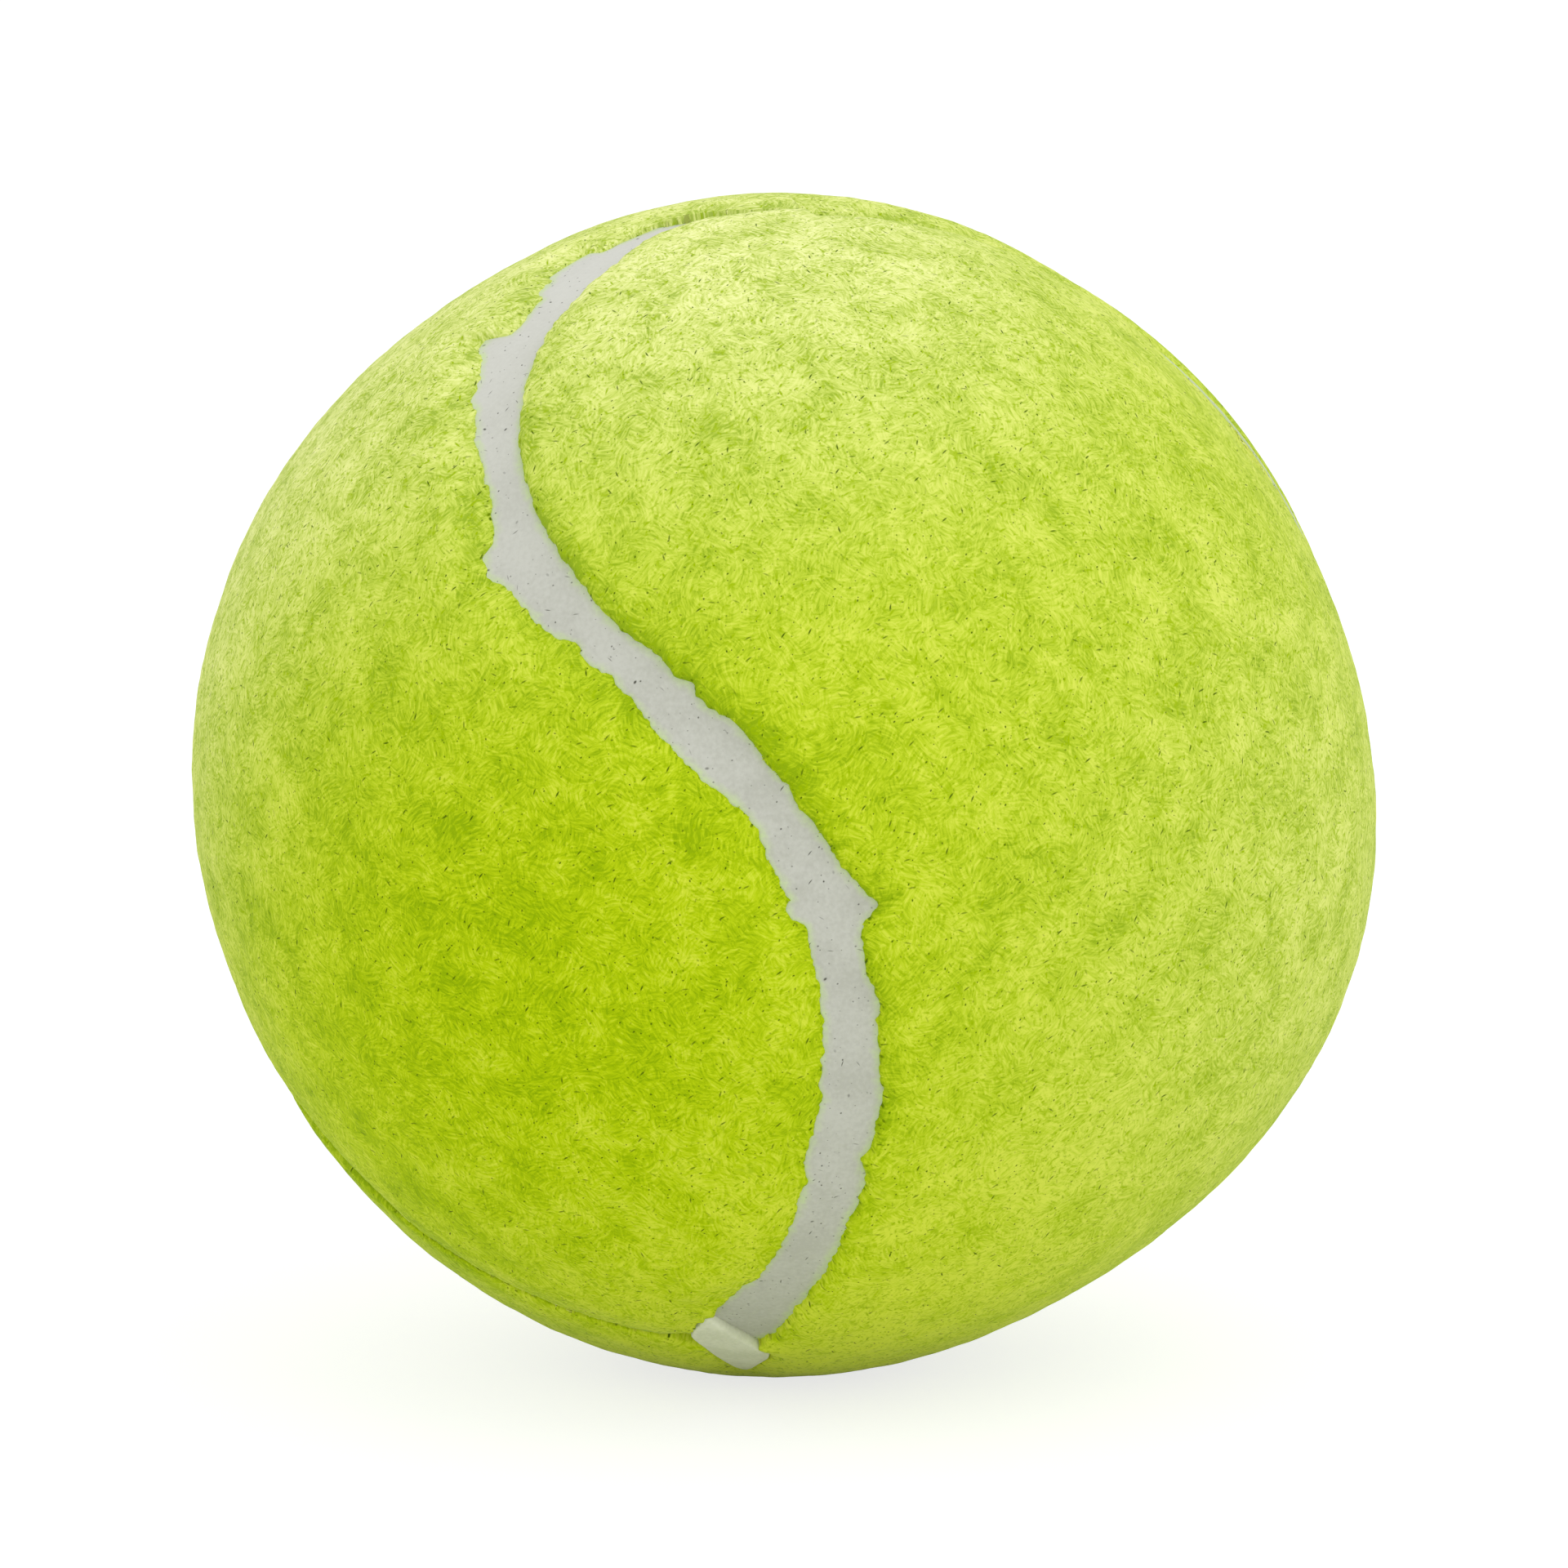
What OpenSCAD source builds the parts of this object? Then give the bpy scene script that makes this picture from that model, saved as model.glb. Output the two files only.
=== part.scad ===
// Tennis ball. A hollow rubber core in two halves is joined by cement and coated with more
// of it. Two interlocking felt panels lie on the core, each a napped layer on a woven base
// cloth with dried cement on its back, and seam rubber fills the groove between their edges.
// The origin is the ball's centre. Front is -Y, right is +X and up is +Z.

/* [Ball] */
// Diameter over the nap
ball_d = 67; // [65.4:0.1:68.6]
// How far the seam is tilted about the left-right axis, in degrees, as the ball lies
roll = 10; // [0:1:45]

/* [Rubber core] */
// Wall of the two half-shells
core_wall = 3.6; // [3:0.1:4.5]
// Thickness of the cement between the rims of the halves
joint_t = 0.3; // [0.2:0.05:0.6]
// Thickness of the cement film over the core
film_t = 0.3; // [0.2:0.05:0.5]

/* [Felt panels] */
// Thickness of the dried cement on a panel's back
backing_t = 0.3; // [0.2:0.05:0.5]
// Thickness of the woven base cloth
cloth_t = 0.8; // [0.6:0.05:1.2]
// Height of the nap above the base cloth
nap_h = 2.4; // [1.8:0.1:3]
// Radius of the nap's shoulder along the seam
shoulder_r = 1.2; // [0.8:0.1:1.5]

/* [Seam] */
// Width of the seam rubber
seam_w = 3; // [2:0.1:4]
// Depth of the seam rubber's face below the top of the nap
seam_sink = 0.9; // [0.6:0.05:1.4]

/* [Seam lap] */
// Length of the lap of rubber, across the seam's end
lap_l = 4.8; // [4:0.1:6]
// Width of the lap
lap_w = 3.4; // [2.5:0.1:4]
// Thickness of the lap
lap_t = 0.5; // [0.3:0.05:0.7]
// Radius of the lap's corners
lap_corner_r = 0.6; // [0.3:0.1:1]
// Turn of the lap in the surface, in degrees
lap_turn = 30; // [0:1:90]

/* [Hidden] */
$fn = 72;

// How far a cut runs past what it cuts
overrun = 1;
// Straight stretches of the seam run this far into the curved ones, and are slimmer on each
// side by the slack, so that they end inside them
lap_in = 0.3;
slack = 0.02;

// The seam's middle line runs like a belt round these discs on the sphere. Each row is in
// degrees: longitude (0 at the front, positive to the right), latitude, angular radius. The
// last figure is the side of the route that the disc lies on, 1 for left and -1 for right.
route_discs = [
    [12, 40, 37, 1],
    [-33, -22.5, 37, -1],
    [-21.5, -61, 8, -1],
    [-139, -54, 42, 1],
    [143.5, 28.5, 41.5, -1]
];
// Where the lap lies, as longitude and latitude
lap_place = [-15, -68.5];

// Radii of the layers, from the nap inwards
ball_r = ball_d / 2;
cloth_r = ball_r - nap_h;
backing_r = cloth_r - cloth_t;
film_r = backing_r - backing_t;
core_r = film_r - film_t;
hollow_r = core_r - core_wall;
seam_r = ball_r - seam_sink;
lap_r = seam_r + lap_t;

// The shoulder's centre lies this share of its radius below the top of the nap
shoulder_drop_share = 0.8;
shoulder_h = ball_r - shoulder_r * shoulder_drop_share;

// Largest turn, in degrees, between two corners of the cone that parts the panels
cone_step = 20;
// Reach of that cone as a share of the ball's radius
cone_reach_share = 10;

function unit(v) = v / norm(v);

// Direction of a place on the ball, with the seam's tilt
function spot(lon, lat) =
    let (x = cos(lat) * sin(lon), y = -cos(lat) * cos(lon), z = sin(lat))
    [x, y * cos(roll) + z * sin(roll), z * cos(roll) - y * sin(roll)];

disc_n = len(route_discs);
centres = [for (d = route_discs) spot(d[0], d[1])];
function next(i) = (i + 1) % disc_n;
function last(i) = (i + disc_n - 1) % disc_n;

// Pole of the great circle that touches disc i and the next one
function pole(i) =
    let (
        p = centres[i],
        q = centres[next(i)],
        a = route_discs[i][3] * sin(route_discs[i][2]),
        b = route_discs[next(i)][3] * sin(route_discs[next(i)][2]),
        c = p * q,
        m = ((a - b * c) * p + (b - a * c) * q) / (1 - c * c),
        x = cross(p, q)
    )
    m + sqrt((1 - m * m) / (x * x)) * x;
poles = [for (i = [0 : disc_n - 1]) pole(i)];

// Foot of disc i on the great circle with pole n
function foot(i, n) = unit(centres[i] - (centres[i] * n) * n);
arrivals = [for (i = [0 : disc_n - 1]) foot(i, poles[last(i)])];
departures = [for (i = [0 : disc_n - 1]) foot(i, poles[i])];

// Part of v that is square to the unit vector z
function square_to(v, z) = unit(v - (v * z) * z);

// Turn of the route round disc i, from its arrival to its departure
function turn(i) =
    let (
        u = square_to(arrivals[i], centres[i]),
        v = cross(centres[i], u),
        a = route_discs[i][3] * atan2(departures[i] * v, departures[i] * u)
    )
    a < 0 ? a + 360 : a;

// Place on disc i's rim after part a of its turn
function on_rim(i, a) =
    let (
        u = square_to(arrivals[i], centres[i]),
        v = cross(centres[i], u),
        w = a * route_discs[i][3]
    )
    cos(route_discs[i][2]) * centres[i] + sin(route_discs[i][2]) * (cos(w) * u + sin(w) * v);

// Corners along the seam's middle line, one set per disc
cone_rim = [
    for (i = [0 : disc_n - 1])
        let (steps = ceil(turn(i) / cone_step))
        for (k = [0 : steps]) on_rim(i, turn(i) * k / steps)
];
rim_n = len(cone_rim);
function sum(v, i = 0) = i < len(v) - 1 ? v[i] + sum(v, i + 1) : v[i];
// Middle of the right panel: the pole of the closed route
right_hub = unit(sum([for (i = [0 : rim_n - 1]) cross(cone_rim[i], cone_rim[(i + 1) % rim_n])]));

// Turns and moves children so that their Z axis points along z, and X as near x as it can
module aim(z, x) {
    u = square_to(x, z);
    v = cross(z, u);
    multmatrix([
        [u.x, v.x, z.x, 0],
        [u.y, v.y, z.y, 0],
        [u.z, v.z, z.z, 0],
        [0, 0, 0, 1]
    ]) children();
}

// Sweeps a flat section along the whole seam. In the section X runs across the seam and
// Y is the distance from the ball's centre. The section draws itself slimmer by $inset.
module along_seam() {
    lap_in_angle = atan(lap_in / ball_r);
    for (i = [0 : disc_n - 1]) {
        let ($inset = 0)
            aim(centres[i], route_discs[i][3] > 0 ? arrivals[i] : departures[i])
                rotate_extrude(angle = turn(i)) rotate(-route_discs[i][2]) children();
        let ($inset = slack)
            aim(poles[i], departures[i]) rotate(-lap_in_angle)
                rotate_extrude(angle = acos(departures[i] * arrivals[next(i)]) + 2 * lap_in_angle)
                    rotate(-90) children();
    }
}

// Cone from the ball's centre that holds one panel, with its edge under the seam
module panel_cone(side) {
    reach = ball_r * cone_reach_share;
    ring = [for (i = [0 : rim_n - 1]) i];
    walls = [for (i = ring) [0, i + 2, (i + 1) % rim_n + 2]];
    caps = [for (i = ring) [1, (i + 1) % rim_n + 2, i + 2]];
    faces = concat(walls, caps);
    polyhedron(
        points = concat([[0, 0, 0], side * right_hub * reach], cone_rim * reach),
        faces = side > 0 ? faces : [for (f = faces) [f[0], f[2], f[1]]]
    );
}

// Straight slot that the seam rubber fills
module slot_section() {
    w = seam_w - 2 * $inset;
    translate([-w / 2, film_r - overrun]) square([w, ball_r - film_r + 2 * overrun]);
}

// The slot with the rounded shoulders of the nap at its mouth
module open_slot_section() {
    half_mouth = seam_w / 2 - $inset + shoulder_r;
    slot_section();
    difference() {
        translate([-half_mouth, shoulder_h])
            square([2 * half_mouth, ball_r - shoulder_h + overrun]);
        for (s = [-1, 1]) translate([s * half_mouth, shoulder_h]) circle(r = shoulder_r);
    }
}

// Hollow sphere between two radii, with its poles in the middles of the panels, and its
// first meridian at the upper back, clear of the seam's bends
module shell(inner_r, outer_r) {
    aim(right_hub, [0, 1, 1]) difference() {
        sphere(r = outer_r);
        sphere(r = inner_r);
    }
}

// Outline of the lap, with round corners
module lap_outline() {
    square([lap_l, lap_w - 2 * lap_corner_r], center = true);
    square([lap_l - 2 * lap_corner_r, lap_w], center = true);
    for (x = [-1, 1], y = [-1, 1])
        translate([x * (lap_l / 2 - lap_corner_r), y * (lap_w / 2 - lap_corner_r)])
            circle(r = lap_corner_r);
}

// Straight block that stands out from the ball under the lap's outline
module lap_block() {
    place = spot(lap_place[0], lap_place[1]);
    south = spot(lap_place[0], lap_place[1] - 90);
    aim(place, south) rotate(lap_turn) translate([0, 0, film_r])
        linear_extrude(height = ball_r - film_r + overrun) lap_outline();
}

// One layer of a panel, between two radii
module panel_layer(side, inner_r, outer_r) {
    difference() {
        intersection() {
            shell(inner_r, outer_r);
            panel_cone(side);
        }
        along_seam() slot_section();
    }
}

// A panel's nap, with round shoulders at the seam and room for the lap
module panel_nap(side) {
    difference() {
        intersection() {
            shell(cloth_r, ball_r);
            panel_cone(side);
        }
        along_seam() open_slot_section();
        difference() {
            lap_block();
            sphere(r = seam_r);
        }
    }
}

// Half-shell of the core below its rim's flat
module core_half() {
    rotate_extrude() difference() {
        intersection() {
            circle(r = core_r);
            translate([0, -core_r]) square([core_r, core_r - joint_t / 2]);
        }
        circle(r = hollow_r);
    }
}

module core_lower_half() {
    color("#4b4a48") core_half();
}

module core_upper_half() {
    color("#4b4a48") mirror([0, 0, 1]) core_half();
}

module core_joint_cement() {
    color("#2e2d2b") rotate_extrude() difference() {
        intersection() {
            circle(r = core_r);
            translate([0, -joint_t / 2]) square([core_r, joint_t]);
        }
        circle(r = hollow_r);
    }
}

module core_cement_film() {
    color("#b9a57c") shell(core_r, film_r);
}

module right_panel_backing() {
    color("#cdbb93") panel_layer(1, film_r, backing_r);
}

module right_panel_cloth() {
    color("#e9e3cf") panel_layer(1, backing_r, cloth_r);
}

module right_panel_nap() {
    color("#c3da35") panel_nap(1);
}

module left_panel_backing() {
    color("#cdbb93") panel_layer(-1, film_r, backing_r);
}

module left_panel_cloth() {
    color("#e9e3cf") panel_layer(-1, backing_r, cloth_r);
}

module left_panel_nap() {
    color("#b8d22a") panel_nap(-1);
}

module seam_rubber() {
    color("#c8c9c4") along_seam() intersection() {
        slot_section();
        difference() {
            circle(r = seam_r - $inset);
            circle(r = film_r + $inset);
        }
    }
}

module seam_lap() {
    color("#d3d7bf") intersection() {
        lap_block();
        shell(seam_r, lap_r);
    }
}

core_lower_half();
core_upper_half();
core_joint_cement();
core_cement_film();
right_panel_backing();
right_panel_cloth();
right_panel_nap();
left_panel_backing();
left_panel_cloth();
left_panel_nap();
seam_rubber();
seam_lap();
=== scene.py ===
import math
import random

import bmesh
import bpy
import numpy as np
from mathutils import Matrix, Vector, noise


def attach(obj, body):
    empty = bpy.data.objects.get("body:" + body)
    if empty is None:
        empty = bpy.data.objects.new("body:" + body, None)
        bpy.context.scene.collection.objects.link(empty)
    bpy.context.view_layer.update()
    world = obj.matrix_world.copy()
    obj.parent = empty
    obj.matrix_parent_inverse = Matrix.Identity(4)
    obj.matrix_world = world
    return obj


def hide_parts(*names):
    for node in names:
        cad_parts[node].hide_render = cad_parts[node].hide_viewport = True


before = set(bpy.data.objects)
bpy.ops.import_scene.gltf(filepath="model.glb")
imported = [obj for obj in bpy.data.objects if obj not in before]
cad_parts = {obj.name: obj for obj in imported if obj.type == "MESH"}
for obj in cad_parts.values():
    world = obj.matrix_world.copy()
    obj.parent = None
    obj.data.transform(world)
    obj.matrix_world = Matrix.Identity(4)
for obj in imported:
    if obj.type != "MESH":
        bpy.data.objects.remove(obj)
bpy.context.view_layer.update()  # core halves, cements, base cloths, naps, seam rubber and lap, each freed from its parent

mm = 0.001
print("frame loaded:", len(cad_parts), "nodes")


photo = {
    "side": 1920,  # the photograph's width and height, px
    "ball": 721,  # radius of the ball's outline, px
    "centre": (959, 961.5),  # its middle, px
    "radiiAway": 18,  # camera distance in ball radii
    "elevation": 10,  # degrees above the horizon
}


# The seam's route and the ball's radii

route = {
    # the seam's middle line runs like a belt round these discs, as in the CAD source:
    # longitude and latitude in degrees, angular radius, side of the route (1 left, -1 right)
    "discs": [(12, 40, 37, 1), (-33, -22.5, 37, -1), (-21.5, -61, 8, -1), (-139, -54, 42, 1),
              (143.5, 28.5, 41.5, -1)],
    "roll": 10,  # tilt of the seam about the left-right axis, degrees
    "overlap": 1e-4,  # radians past a leg's end that still count as beside it
    "nowhere": 9.0,  # radians, further off than any place on the ball
}


def reachOf(node):  # from the ball's centre to the node's outermost corner
    return max(v.co.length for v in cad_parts[node].data.vertices)


ballR = reachOf("right_panel_nap")
clothR = reachOf("right_panel_cloth")
filmR = reachOf("core_cement_film")
seamR = reachOf("seam_rubber")
lapR = reachOf("seam_lap")


def toward(lon, lat):  # direction of a place on the ball, with the seam's tilt
    lon, lat = math.radians(lon), math.radians(lat)
    level = Vector((math.cos(lat) * math.sin(lon), -math.cos(lat) * math.cos(lon), math.sin(lat)))
    return Matrix.Rotation(-math.radians(route["roll"]), 3, "X") @ level


def squareTo(v, axis):
    return (v - v.dot(axis) * axis).normalized()


def seamLegs():  # ten legs: a turn round each disc, then a stretch of great circle to the next
    discs = [(toward(lon, lat), math.radians(size), side) for lon, lat, size, side in route["discs"]]
    poles = []
    for (p, sizeP, sideP), (q, sizeQ, sideQ) in zip(discs, discs[1:] + discs[:1]):
        a, b, c = sideP * math.sin(sizeP), sideQ * math.sin(sizeQ), p.dot(q)
        middle = ((a - b * c) * p + (b - a * c) * q) / (1 - c * c)
        across = p.cross(q)
        poles.append(middle + math.sqrt((1 - middle.dot(middle)) / across.dot(across)) * across)
    made, start = [], 0.0
    for i, (centre, discSize, discSide) in enumerate(discs):
        ahead = discs[(i + 1) % len(discs)][0]
        arrival, departure = squareTo(centre, poles[i - 1]), squareTo(centre, poles[i])
        landing = squareTo(ahead, poles[i])
        for axis, size, side, first, last in ((centre, discSize, discSide, arrival, departure),
                                              (poles[i], math.pi / 2, 1, departure, landing)):
            u = squareTo(first, axis)
            v = axis.cross(u)
            turn = side * math.atan2(last.dot(v), last.dot(u)) % (2 * math.pi)
            made.append({"axis": axis, "size": size, "side": side, "u": u, "v": v,
                         "turn": turn, "start": start})
            start += turn * math.sin(size)
    return made


legs = seamLegs()


def unitOf(points):
    return points / np.linalg.norm(points, axis=1, keepdims=True)


def seamPlace(points):  # metres from the seam's middle line (plus on the right panel), and along it
    unit = unitOf(points)
    across, along = np.full(len(unit), route["nowhere"]), np.zeros(len(unit))
    for leg in legs:
        angle = leg["side"] * np.arctan2(unit @ np.array(leg["v"]), unit @ np.array(leg["u"])) % (2 * np.pi)
        off = leg["side"] * (leg["size"] - np.arccos(np.clip(unit @ np.array(leg["axis"]), -1, 1)))
        nearer = (angle <= leg["turn"] + route["overlap"]) & (np.abs(off) < np.abs(across))
        across[nearer] = off[nearer]
        along[nearer] = (leg["start"] + angle * math.sin(leg["size"]))[nearer]
    return across * ballR, along * ballR


lapShape = {
    "place": (-15, -68.5),  # longitude and latitude, as in the CAD source
    "turn": 30,  # degrees in the surface
    # its corners, counted anticlockwise: millimetres along it, across it and from the ball's centre;
    # the end away from the seam rides up to the felt's face
    "corners": [(-1.4, -1.6, 33.25), (6.2, -4.7, 33.5), (3.8, -0.1, 33.35), (-2.7, 1.0, 33.1)],
    "corner": 0.75 * mm,  # radius of its corners, rounded in this many steps
    "cornerCuts": 4,
    "round": 0.22 * mm,  # bevel of its upper edge, in this many steps
    "roundCuts": 3,
    "cuts": 11,  # strips each way, so that it can follow the ball
    "foot": 0.1 * mm,  # its underside lies this far below the seam rubber's face
    "sag": (0.05 * mm, 1.1 * mm, 4.0),  # unevenness of its face: height, size, seed
    "wobble": (0.10 * mm, 0.8 * mm, 9.0),  # unevenness of its outline, the same way
    "wobbleReach": 2 * mm,  # distance from its middle at which the wobble counts in full
}


def lapAxes():  # along the lap, across it, and outward
    lon, lat = lapShape["place"]
    place = toward(lon, lat)
    u = squareTo(toward(lon, lat - 90), place)
    axes = Matrix((u, place.cross(u), place)).transposed()
    return axes @ Matrix.Rotation(math.radians(lapShape["turn"]), 3, "Z")


def lapField(points):  # metres outside the lap's outline, negative under it
    flat = unitOf(points) @ np.array(lapAxes()) * seamR
    corners = np.array(lapShape["corners"])[:, :2] * mm
    beyond = []
    for a, b in zip(corners, np.roll(corners, -1, axis=0)):
        side = np.array((b[1] - a[1], a[0] - b[0])) / np.linalg.norm(b - a)
        beyond.append((flat[:, :2] - a) @ side + lapShape["corner"])
    beyond = np.array(beyond).T
    out = np.linalg.norm(np.maximum(beyond, 0), axis=1) + np.minimum(beyond.max(axis=1), 0)
    out -= lapShape["corner"]
    out[flat[:, 2] < 0] = ballR  # the far side of the ball
    return out


def sumOf(spots, points):  # adds soft round spots: longitude, latitude, amount, half width in degrees
    unit = unitOf(points)
    total = np.zeros(len(unit))
    for lon, lat, amount, width in spots:
        away = np.degrees(np.arccos(np.clip(unit @ np.array(toward(lon, lat)), -1, 1)))
        total += amount * np.exp(-(away / width) ** 2 / 2)
    return total


def coordsOf(verts):
    return np.array([v.co for v in verts])


def noiseOver(points, size, seed):  # smooth noise with features of that size, about -1 to 1
    return np.array([noise.noise(Vector(p)) for p in points / size + seed])


def noiseLayers(points, layers, seed):  # sums noises, each of a height and a size
    return sum(height * noiseOver(points, size, seed * k) for k, (height, size) in enumerate(layers))


def writeMark(mesh, name, values):  # a number at each corner of the mesh, for its material to read
    mesh.attributes.new(name, "FLOAT", "POINT").data.foreach_set("value", values)


def meshObject(name, bm, material):
    mesh = bpy.data.meshes.new(name)
    bm.to_mesh(mesh)
    bm.free()
    mesh.materials.append(material)
    made = bpy.data.objects.new(name, mesh)
    bpy.context.scene.collection.objects.link(made)
    return made


def meshPiece(name, bm, material, replaces=(), smooth=True):
    for face in bm.faces:
        face.smooth = smooth
    piece = meshObject(name, bm, material)
    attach(piece, "root")
    if replaces:
        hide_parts(*replaces)
    return piece


# Materials

def linearOf(code):  # sRGB hex to linear colour
    parts = [int(code[i:i + 2], 16) / 255 for i in (1, 3, 5)]
    return tuple(p / 12.92 if p <= 0.04045 else ((p + 0.055) / 1.055) ** 2.4 for p in parts) + (1.0,)


def addNode(tree, kind, inputs=None, stops=None, **settings):
    node = tree.nodes.new("ShaderNode" + kind)
    for key, value in settings.items():
        setattr(node, key, value)
    for key, value in (inputs or {}).items():
        if isinstance(value, bpy.types.NodeSocket):
            tree.links.new(value, node.inputs[key])
        else:
            node.inputs[key].default_value = value
    if stops:
        ramp = node.color_ramp
        while len(ramp.elements) < len(stops):
            ramp.elements.new(0.5)
        for element, (position, colour) in zip(ramp.elements, stops):
            element.position, element.color = position, colour
    return node


def newMaterial(name):
    material = bpy.data.materials.new(name)
    material.use_nodes = True
    material.node_tree.nodes.clear()
    return material, material.node_tree


def perMetre(size):  # noise scale for features of that size in millimetres
    return 1 / (size * mm)


def stopsOf(look, ramp):  # a ramp's places, each with its tone as a linear colour
    return [(at, linearOf(look[tone])) for at, tone in look[ramp]]


octaves = {"cloudy": 3.0, "fine": 2.0}  # finer noise that a pattern carries

feltLook = {
    "deep": "#8FAE06",  # down between the fibres: darkest where the mat is lowest, partly its own uneven tone and partly painted shade
    "body": "#B6CE0A",  # the mat as a whole
    "pale": "#D2E03C",  # fibres on top
    "paleAndPaintedHighlight": "#F4F8B0",  # painted highlight: paler where light falls from above and at the rims; also the colour of the few bleached fibres
    "moss": "#9DBA04",  # painted shade in shallow gaps between the tufts, and the darker matted patches
    "pit": "#4C640A",  # painted shade in short gaps that look down into the mat
    "blotch": (3.2, 0.0), "clump": (1.1, 0.6), "clot": (0.5, 1.0),  # size in mm, and how far it is twisted
    "tufts": (1.6, 0.9),  # mm across
    "stroke": (0.9, 0.14),  # length and width in mm
    "bow": 0.25,  # bend of a tuft's fibres
    "apart": 37,  # moves one tuft's strokes away from the next one's
    "weigh": {"blotch": 0.3, "clump": 0.2, "sunk": -0.14, "strokes": 0.35},  # what makes the depth of colour, the painted shade at the cut edge among it
    "matRamp": [(0.46, "deep"), (0.60, "body"), (0.74, "pale")],
    "crest": {"From Min": 0.48, "From Max": 0.7, "To Min": 0.3, "To Max": 1.5},  # the painted highlight takes the top first
    "matted": {"From Min": 0.56, "From Max": 0.7, "To Max": 0.7},  # from the clots to their share of moss
    # colour, spacing, half length, half width and share of the gaps, which carry painted shade
    "gaps": [("moss", 1.2, 0.32, 0.07, 0.6), ("moss", 0.8, 0.16, 0.08, 0.6), ("moss", 0.55, 0.1, 0.06, 0.5),
             ("pit", 1.5, 0.24, 0.055, 0.45), ("pit", 1.0, 0.09, 0.055, 0.6), ("pit", 0.7, 0.05, 0.05, 0.45)],
    "rim": ("pit", 0.8, 0.14, 0.09, 0.7),  # the same right at the cut edge, as painted shadow along it
    "gapHeight": -0.2,  # against the depth of colour, which is the mat's relief
    "relief": {"Strength": 0.5, "Distance": 0.15 * mm},
    # the curled fibres: shade of one against the next, and the painted shade at the cut edge
    "island": 0.5, "fibreShadeWeight": -0.4,
    "fibreRamp": [(0.4, "body"), (0.85, "pale")],
    "faded": {"From Min": 0.82, "To Max": 0.5},  # a few fibres are bleached wherever they lie
    # how strongly the painted highlight pales the fibres
    "highlightGain": 1.5,
    "ownForm": (0.3, 0.3, 0.3),  # how far a fibre's own faces turn its light
    "surface": {"Roughness": 0.9, "Specular IOR Level": 0.0, "Sheen Weight": 0.1, "Sheen Roughness": 0.3},
}

markLook = {
    "bow": 0.3,
    "edge": {"From Min": 0.4, "From Max": 1.1, "To Min": 1.0, "To Max": 0.0},  # full in the middle
    "strength": {"To Min": 0.25, "To Max": 1.0},  # from the faintest mark to the darkest
}


def fibreLie(tree, place, size, bow):
    # splits the surface into cells that each have their own lie: the place along and across the
    # cell's slightly bowed fibres in metres, and the cell's random colour
    cell = addNode(tree, "TexVoronoi", {"Vector": place, "Scale": perMetre(size)})
    away = addNode(tree, "VectorMath", {0: place, 1: cell.outputs["Position"]},
                   operation="SUBTRACT").outputs[0]
    out = addNode(tree, "VectorMath", {0: place}, operation="NORMALIZE").outputs[0]
    pick = addNode(tree, "VectorMath", {0: cell.outputs["Color"], 1: (0.5, 0.5, 0.5)}, operation="SUBTRACT")
    lie = addNode(tree, "VectorMath", {0: out, 1: pick.outputs[0]}, operation="CROSS_PRODUCT").outputs[0]
    lie = addNode(tree, "VectorMath", {0: lie}, operation="NORMALIZE").outputs[0]
    side = addNode(tree, "VectorMath", {0: out, 1: lie}, operation="CROSS_PRODUCT").outputs[0]
    along = addNode(tree, "VectorMath", {0: away, 1: lie}, operation="DOT_PRODUCT").outputs["Value"]
    across = addNode(tree, "VectorMath", {0: away, 1: side}, operation="DOT_PRODUCT").outputs["Value"]
    square = addNode(tree, "Math", {0: along, 1: along}, operation="MULTIPLY").outputs[0]
    across = addNode(tree, "Math", {0: square, 1: perMetre(1) * bow, 2: across},
                     operation="MULTIPLY_ADD").outputs[0]
    return along, across, addNode(tree, "SeparateXYZ", {0: cell.outputs["Color"]})


def strokesOf(tree, place, size, look):  # long thin light and dark strokes along each cell's lie
    along, across, pick = fibreLie(tree, place, size, look["bow"])
    spot = addNode(tree, "CombineXYZ", {"X": along, "Y": across, "Z": pick.outputs["X"]}).outputs[0]
    length, width = look["stroke"]
    spot = addNode(tree, "VectorMath", {0: spot, 1: (perMetre(length), perMetre(width), look["apart"])},
                   operation="MULTIPLY").outputs[0]
    return addNode(tree, "TexNoise", {"Vector": spot, "Scale": 1.0, "Detail": octaves["fine"]}).outputs["Fac"]


def marksOf(tree, place, spacing, length, width, share):  # one short mark in that share of the cells
    along, across, pick = fibreLie(tree, place, spacing, markLook["bow"])
    spot = addNode(tree, "CombineXYZ", {"X": along, "Y": across}).outputs[0]
    spot = addNode(tree, "VectorMath", {0: spot, 1: (perMetre(length), perMetre(width), 0)},
                   operation="MULTIPLY").outputs[0]
    reach = addNode(tree, "VectorMath", {0: spot}, operation="LENGTH").outputs["Value"]
    mark = addNode(tree, "MapRange", {"Value": reach, **markLook["edge"]}).outputs[0]
    gate = addNode(tree, "Math", {0: pick.outputs["Z"], 1: share}, operation="LESS_THAN").outputs[0]
    faint = addNode(tree, "MapRange", {"Value": pick.outputs["X"], **markLook["strength"]}).outputs[0]
    for part in (faint, gate):
        mark = addNode(tree, "Math", {0: mark, 1: part}, operation="MULTIPLY").outputs[0]
    return mark


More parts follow.
